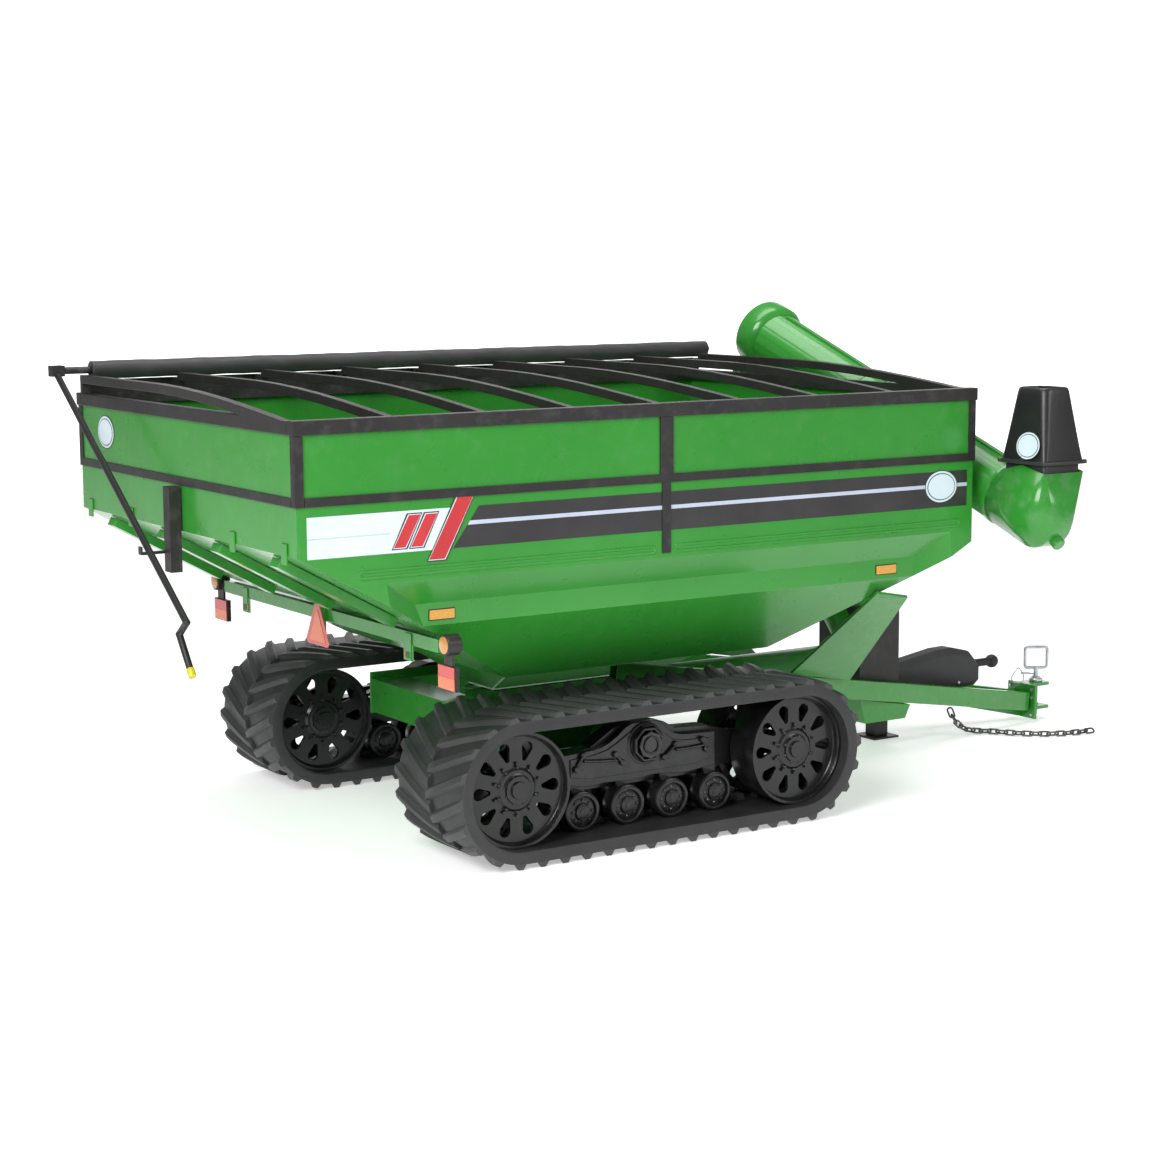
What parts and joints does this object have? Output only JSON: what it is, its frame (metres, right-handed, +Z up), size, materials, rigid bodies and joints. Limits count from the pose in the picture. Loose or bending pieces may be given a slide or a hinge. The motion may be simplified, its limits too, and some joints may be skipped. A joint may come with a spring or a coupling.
{
  "type": "tracked grain cart",
  "caption": "Two-track grain cart: sloped hopper tank with cross bars and roll tarp, folding corner auger with spout, clevis hitch, jack and driveline cover.",
  "frame": {"origin": "under the middle of the overall box, on the ground plane", "axes": "+X forwards to the hitch, +Y to the cart's left, +Z up"},
  "size_m": [9.345, 4.8596, 4.0978],
  "materials": {
    "green_paint": "gloss",
    "black_paint": "satin",
    "track_rubber": "matte",
    "tarp_fabric": "matte",
    "spout_rubber": "satin",
    "black_plastic": "matte",
    "yellow_cap": "gloss",
    "amber_lens": "gloss",
    "orange_sign": "reflective",
    "zinc_steel": "zinc plated",
    "worn_steel": "worn bright",
    "dark_chain": "dark oiled",
    "cast_gearbox": "painted casting"
  },
  "bodies": {
    "root": {"side_walls": "green_paint", "end_walls": "green_paint", "end_slopes": "green_paint", "side_bands": "green_paint", "hopper_sides": "green_paint", "hopper_floor": "green_paint", "auger_trough": "green_paint", "slope_channels": "green_paint", "wall_frame": "black_paint", "rim_rails": "black_paint", "cross_bars": "black_paint", "crank_holder": "black_paint", "lamp_bar": "green_paint", "lamps": "amber_lens", "reflectors": "amber_lens", "smv_sign": "orange_sign", "axle_beam": "green_paint", "tongue_beams": "green_paint", "hitch_head": "green_paint", "safety_chain": "dark_chain", "jack_body": "black_paint", "tongue_braces": "green_paint", "pto_cover": "black_plastic", "gearbox": "cast_gearbox", "lower_tube": "green_paint", "auger_boot": "black_paint", "hinge_pin": "zinc_steel"},
    "tarp_roll": {"tarp_roll": "tarp_fabric"},
    "crank_yoke": {"crank_yoke": "black_paint"},
    "crank_tube": {"crank_tube": "black_paint", "crank_grip": "yellow_cap"},
    "hitch_pin": {"hitch_pin": "zinc_steel"},
    "jack_leg": {"jack_leg": "black_paint"},
    "pto_shaft": {"pto_shaft": "black_paint"},
    "floor_auger": {"floor_auger": "worn_steel"},
    "lower_flight": {"lower_flight": "worn_steel"},
    "upper_auger": {"upper_tube": "green_paint", "elbow": "green_paint"},
    "upper_flight": {"upper_flight": "worn_steel"},
    "spout": {"spout": "spout_rubber"},
    "fold_barrel": {"fold_barrel": "black_paint"},
    "fold_rod": {"fold_rod": "zinc_steel"},
    "flow_gate": {"flow_gate": "zinc_steel"},
    "cleanout_door": {"cleanout_door": "green_paint"},
    "track_right": {"track_frame_right": "black_paint", "belt_right": "track_rubber"},
    "wheel_right_rear": {"wheel_right_rear": "black_paint"},
    "wheel_right_front": {"wheel_right_front": "black_paint"},
    "roller_right_1": {"roller_right_1": "black_paint"},
    "roller_right_2": {"roller_right_2": "black_paint"},
    "roller_right_3": {"roller_right_3": "black_paint"},
    "roller_right_4": {"roller_right_4": "black_paint"},
    "track_left": {"track_frame_left": "black_paint", "belt_left": "track_rubber"},
    "wheel_left_rear": {"wheel_left_rear": "black_paint"},
    "wheel_left_front": {"wheel_left_front": "black_paint"},
    "roller_left_1": {"roller_left_1": "black_paint"},
    "roller_left_2": {"roller_left_2": "black_paint"},
    "roller_left_3": {"roller_left_3": "black_paint"},
    "roller_left_4": {"roller_left_4": "black_paint"}
  },
  "joints": [
    {"name": "auger_fold", "type": "hinge", "parent": "root", "child": "upper_auger", "pos_m": [2.2775, 1.81336, 3.49], "axis": [1, 0, 0], "range_deg": [-151.13, 0]},
    {"name": "spout_tilt", "type": "hinge", "parent": "upper_auger", "child": "spout", "pos_m": [2.2775, -2.14976, 2.88], "axis": [1, 0, 0], "range_deg": [-12, 12]},
    {"name": "upper_auger_spin", "type": "hinge", "parent": "upper_auger", "child": "upper_flight", "pos_m": [2.2775, 1.69979, 3.79984], "axis": [0, -0.9389, -0.3442], "continuous": true},
    {"name": "floor_auger_spin", "type": "hinge", "parent": "root", "child": "floor_auger", "pos_m": [0.2275, 0.29976, 0.808], "axis": [1, 0, 0], "continuous": true},
    {"name": "lower_auger_spin", "type": "hinge", "parent": "root", "child": "lower_flight", "pos_m": [2.2775, 2.06241, 3.2735], "axis": [0, 0.6561, 0.7547], "continuous": true},
    {"name": "pto_spin", "type": "hinge", "parent": "root", "child": "pto_shaft", "pos_m": [3.2275, 0.29976, 0.63], "axis": [1, 0, 0], "continuous": true},
    {"name": "fold_barrel_swing", "type": "hinge", "parent": "root", "child": "fold_barrel", "pos_m": [2.6375, 1.15375, 2.54798], "axis": [1, 0, 0], "range_deg": [-2.21, 0.2]},
    {"name": "fold_rod_slide", "type": "slide", "parent": "fold_barrel", "child": "fold_rod", "axis": [0, 0.5044, 0.8635], "range_m": [0, 0.5419]},
    {"name": "flow_gate_slide", "type": "slide", "parent": "root", "child": "flow_gate", "axis": [-1, 0, 0], "range_m": [0, 0.9]},
    {"name": "cleanout_hinge", "type": "hinge", "parent": "root", "child": "cleanout_door", "pos_m": [-0.8975, 0.48976, 0.62], "axis": [1, 0, 0], "range_deg": [0, 90]},
    {"name": "jack_slide", "type": "slide", "parent": "root", "child": "jack_leg", "axis": [0, 0, 1], "range_m": [0, 0.3]},
    {"name": "hitch_pin_lift", "type": "slide", "parent": "root", "child": "hitch_pin", "axis": [0, 0, 1], "range_m": [0, 0.4]},
    {"name": "tarp_roll_spin", "type": "hinge", "parent": "root", "child": "tarp_roll", "pos_m": [-1.3725, 2.22976, 3.64], "axis": [1, 0, 0], "continuous": true},
    {"name": "crank_swing", "type": "hinge", "parent": "root", "child": "crank_yoke", "pos_m": [-4.6225, 2.22976, 3.64], "axis": [1, 0, 0], "range_deg": [-45, 0]},
    {"name": "crank_spin", "type": "hinge", "parent": "crank_yoke", "child": "crank_tube", "pos_m": [-4.6225, 2.22976, 3.64], "axis": [0, -0.8261, -0.5635], "continuous": true},
    {"name": "track_right_pitch", "type": "hinge", "parent": "root", "child": "track_right", "pos_m": [-1.2525, -1.32524, 0.753], "axis": [0, 1, 0], "range_deg": [-5, 5]},
    {"name": "wheel_right_rear_spin", "type": "hinge", "parent": "track_right", "child": "wheel_right_rear", "pos_m": [-2.565, -1.32524, 0.59], "axis": [0, 1, 0], "continuous": true},
    {"name": "wheel_right_front_spin", "type": "hinge", "parent": "track_right", "child": "wheel_right_front", "pos_m": [0.06, -1.32524, 0.59], "axis": [0, 1, 0], "continuous": true},
    {"name": "roller_right_1_spin", "type": "hinge", "parent": "track_right", "child": "roller_right_1", "pos_m": [-1.8825, -1.32524, 0.297], "axis": [0, 1, 0], "continuous": true},
    {"name": "roller_right_2_spin", "type": "hinge", "parent": "track_right", "child": "roller_right_2", "pos_m": [-1.4625, -1.32524, 0.297], "axis": [0, 1, 0], "continuous": true},
    {"name": "roller_right_3_spin", "type": "hinge", "parent": "track_right", "child": "roller_right_3", "pos_m": [-1.0425, -1.32524, 0.297], "axis": [0, 1, 0], "continuous": true},
    {"name": "roller_right_4_spin", "type": "hinge", "parent": "track_right", "child": "roller_right_4", "pos_m": [-0.6225, -1.32524, 0.297], "axis": [0, 1, 0], "continuous": true},
    {"name": "track_left_pitch", "type": "hinge", "parent": "root", "child": "track_left", "pos_m": [-1.2525, 1.92476, 0.753], "axis": [0, 1, 0], "range_deg": [-5, 5]},
    {"name": "wheel_left_rear_spin", "type": "hinge", "parent": "track_left", "child": "wheel_left_rear", "pos_m": [-2.565, 1.92476, 0.59], "axis": [0, 1, 0], "continuous": true},
    {"name": "wheel_left_front_spin", "type": "hinge", "parent": "track_left", "child": "wheel_left_front", "pos_m": [0.06, 1.92476, 0.59], "axis": [0, 1, 0], "continuous": true},
    {"name": "roller_left_1_spin", "type": "hinge", "parent": "track_left", "child": "roller_left_1", "pos_m": [-1.8825, 1.92476, 0.297], "axis": [0, 1, 0], "continuous": true},
    {"name": "roller_left_2_spin", "type": "hinge", "parent": "track_left", "child": "roller_left_2", "pos_m": [-1.4625, 1.92476, 0.297], "axis": [0, 1, 0], "continuous": true},
    {"name": "roller_left_3_spin", "type": "hinge", "parent": "track_left", "child": "roller_left_3", "pos_m": [-1.0425, 1.92476, 0.297], "axis": [0, 1, 0], "continuous": true},
    {"name": "roller_left_4_spin", "type": "hinge", "parent": "track_left", "child": "roller_left_4", "pos_m": [-0.6225, 1.92476, 0.297], "axis": [0, 1, 0], "continuous": true}
  ],
  "couplings": [
    {"joint": "lower_auger_spin", "follows": "floor_auger_spin", "ratio": 1},
    {"joint": "pto_spin", "follows": "floor_auger_spin", "ratio": 1},
    {"joint": "fold_barrel_swing", "follows": "auger_fold", "ratio": 0.01328},
    {"joint": "fold_rod_slide", "follows": "auger_fold", "m_per_rad": -0.20506},
    {"joint": "crank_spin", "follows": "tarp_roll_spin", "ratio": -1},
    {"joint": "wheel_right_front_spin", "follows": "wheel_right_rear_spin", "ratio": 1},
    {"joint": "roller_right_1_spin", "follows": "wheel_right_rear_spin", "ratio": 2.8903},
    {"joint": "roller_right_2_spin", "follows": "wheel_right_rear_spin", "ratio": 2.8903},
    {"joint": "roller_right_3_spin", "follows": "wheel_right_rear_spin", "ratio": 2.8903},
    {"joint": "roller_right_4_spin", "follows": "wheel_right_rear_spin", "ratio": 2.8903},
    {"joint": "wheel_left_front_spin", "follows": "wheel_left_rear_spin", "ratio": 1},
    {"joint": "roller_left_1_spin", "follows": "wheel_left_rear_spin", "ratio": 2.8903},
    {"joint": "roller_left_2_spin", "follows": "wheel_left_rear_spin", "ratio": 2.8903},
    {"joint": "roller_left_3_spin", "follows": "wheel_left_rear_spin", "ratio": 2.8903},
    {"joint": "roller_left_4_spin", "follows": "wheel_left_rear_spin", "ratio": 2.8903}
  ]
}
